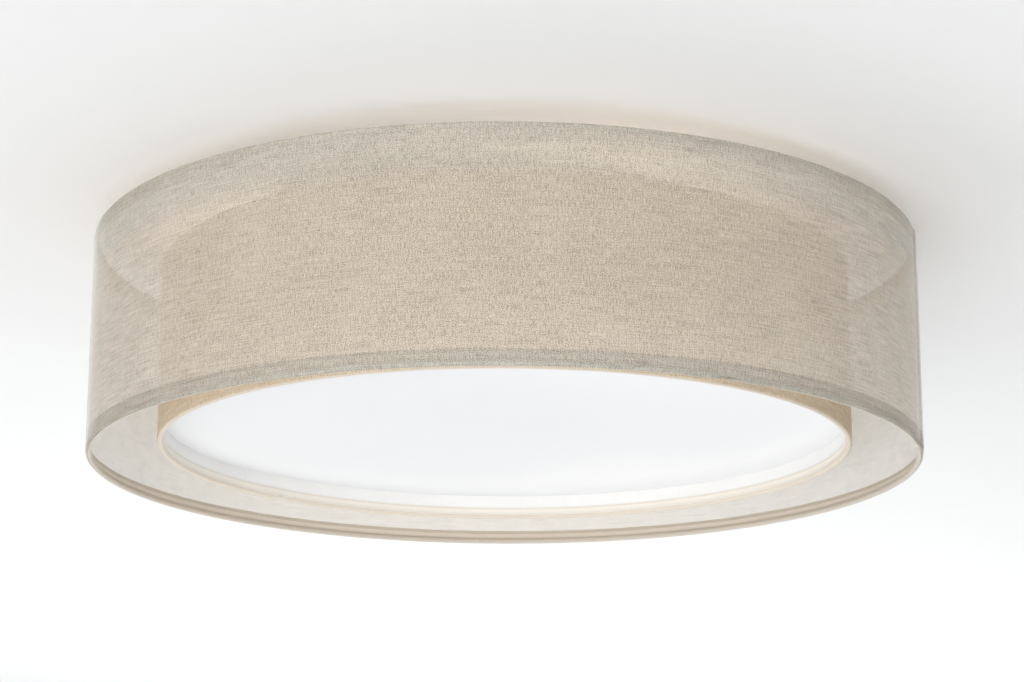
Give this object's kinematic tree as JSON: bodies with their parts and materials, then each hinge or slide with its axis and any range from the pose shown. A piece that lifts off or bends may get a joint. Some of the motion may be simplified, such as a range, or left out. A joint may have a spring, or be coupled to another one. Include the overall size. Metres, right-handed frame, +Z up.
{
  "type": "flush mount ceiling light",
  "caption": "Flush ceiling light: a sheer cloth drum round a smaller lined cloth drum with a recessed opal diffuser, screw-in lamps, and a steel pan on a ceiling bar.",
  "frame": {"origin": "centre of the mounting bar's face on the ceiling, midway between its two screw slots", "axes": "+Z up into the ceiling along the drums' axis; +Y along the mounting bar; +X towards the terminal block; the light hangs below z = 0"},
  "size_m": [0.5999, 0.6, 0.175],
  "materials": {
    "sheer_linen": "sheer woven greige linen cloth laminated on film, slubbed",
    "clear_film": "clear satin film",
    "white_wire": "white powder coat",
    "beige_linen": "dense woven beige linen cloth",
    "white_liner": "matt white",
    "opal_acrylic": "opal white, satin",
    "white_steel": "white powder coat, fine texture",
    "zinc_steel": "bright zinc plate",
    "nickel_brass": "satin nickel plate, knurled",
    "black_rubber": "matt",
    "white_thermoplastic": "moulded, semi-gloss",
    "steatite": "unglazed",
    "brass": "satin",
    "terminal_steel": "zinc plate",
    "lamp_cap": "bright rolled thread",
    "lamp_contact": "satin",
    "lamp_housing": "moulded, satin",
    "led_board": "white solder mask",
    "lit_opal": "frosted opal, lit warm white",
    "brown_insulation": "satin",
    "blue_insulation": "satin",
    "green_yellow_insulation": "green with a yellow stripe"
  },
  "bodies": {
    "ceiling_unit": {"ceiling_plate": "white_steel", "mounting_bar": "zinc_steel", "pan_screws": "zinc_steel", "cable_bushing": "black_rubber", "shade_studs": "zinc_steel", "stud_spacers": "zinc_steel", "holder_brackets": "zinc_steel", "bracket_rivets": "zinc_steel", "holder_nipples": "zinc_steel", "nipple_nuts": "zinc_steel", "holder_domes": "white_thermoplastic", "holder_skirt_1": "white_thermoplastic", "holder_skirt_2": "white_thermoplastic", "holder_skirt_3": "white_thermoplastic", "holder_inserts": "steatite", "holder_centre_contacts": "brass", "holder_side_contacts": "brass", "terminal_block": "white_thermoplastic", "terminal_sleeves": "brass", "terminal_screws": "terminal_steel", "block_screw": "zinc_steel", "earth_screw": "zinc_steel", "earth_lug": "brass", "earth_nut": "zinc_steel", "live_wires": "brown_insulation", "neutral_wires": "blue_insulation", "earth_wire": "green_yellow_insulation"},
    "shade": {"outer_shade_fabric": "sheer_linen", "outer_shade_film": "clear_film", "outer_top_ring": "white_wire", "outer_bottom_ring": "white_wire", "inner_shade_fabric": "beige_linen", "inner_shade_liner": "white_liner", "inner_top_ring": "white_wire", "inner_bottom_ring": "white_wire", "diffuser_support_band": "white_liner", "spider_arm_1": "white_steel", "spider_arm_2": "white_steel", "spider_arm_3": "white_steel"},
    "diffuser": {"diffuser": "opal_acrylic"},
    "nut_1": {"knurled_nut_1": "nickel_brass"},
    "nut_2": {"knurled_nut_2": "nickel_brass"},
    "nut_3": {"knurled_nut_3": "nickel_brass"},
    "bulb_1": {"bulb_1_cap": "lamp_cap", "bulb_1_contact": "lamp_contact", "bulb_1_housing": "lamp_housing", "bulb_1_led_board": "led_board", "bulb_1_dome": "lit_opal"},
    "bulb_2": {"bulb_2_cap": "lamp_cap", "bulb_2_contact": "lamp_contact", "bulb_2_housing": "lamp_housing", "bulb_2_led_board": "led_board", "bulb_2_dome": "lit_opal"},
    "bulb_3": {"bulb_3_cap": "lamp_cap", "bulb_3_contact": "lamp_contact", "bulb_3_housing": "lamp_housing", "bulb_3_led_board": "led_board", "bulb_3_dome": "lit_opal"}
  },
  "joints": [
    {"name": "shade_drop", "type": "slide", "parent": "ceiling_unit", "child": "shade", "axis": [0, 0, -1], "range_m": [0, 0.15]},
    {"name": "diffuser_lift", "type": "slide", "parent": "shade", "child": "diffuser", "axis": [0, 0, 1], "range_m": [0, 0.03]},
    {"name": "nut_1_spin", "type": "hinge", "parent": "shade", "child": "nut_1", "pos_m": [0.15, 0, -0.036], "axis": [0, 0, -1], "continuous": true},
    {"name": "nut_2_spin", "type": "hinge", "parent": "shade", "child": "nut_2", "pos_m": [-0.075, 0.1299, -0.036], "axis": [0, 0, -1], "continuous": true},
    {"name": "nut_3_spin", "type": "hinge", "parent": "shade", "child": "nut_3", "pos_m": [-0.075, -0.1299, -0.036], "axis": [0, 0, -1], "continuous": true},
    {"name": "bulb_1_withdraw", "type": "slide", "parent": "ceiling_unit", "child": "bulb_1", "axis": [0.5, 0.866, 0], "range_m": [0, 0.028]},
    {"name": "bulb_2_withdraw", "type": "slide", "parent": "ceiling_unit", "child": "bulb_2", "axis": [-1, 0, 0], "range_m": [0, 0.028]},
    {"name": "bulb_3_withdraw", "type": "slide", "parent": "ceiling_unit", "child": "bulb_3", "axis": [0.5, -0.866, 0], "range_m": [0, 0.028]}
  ]
}
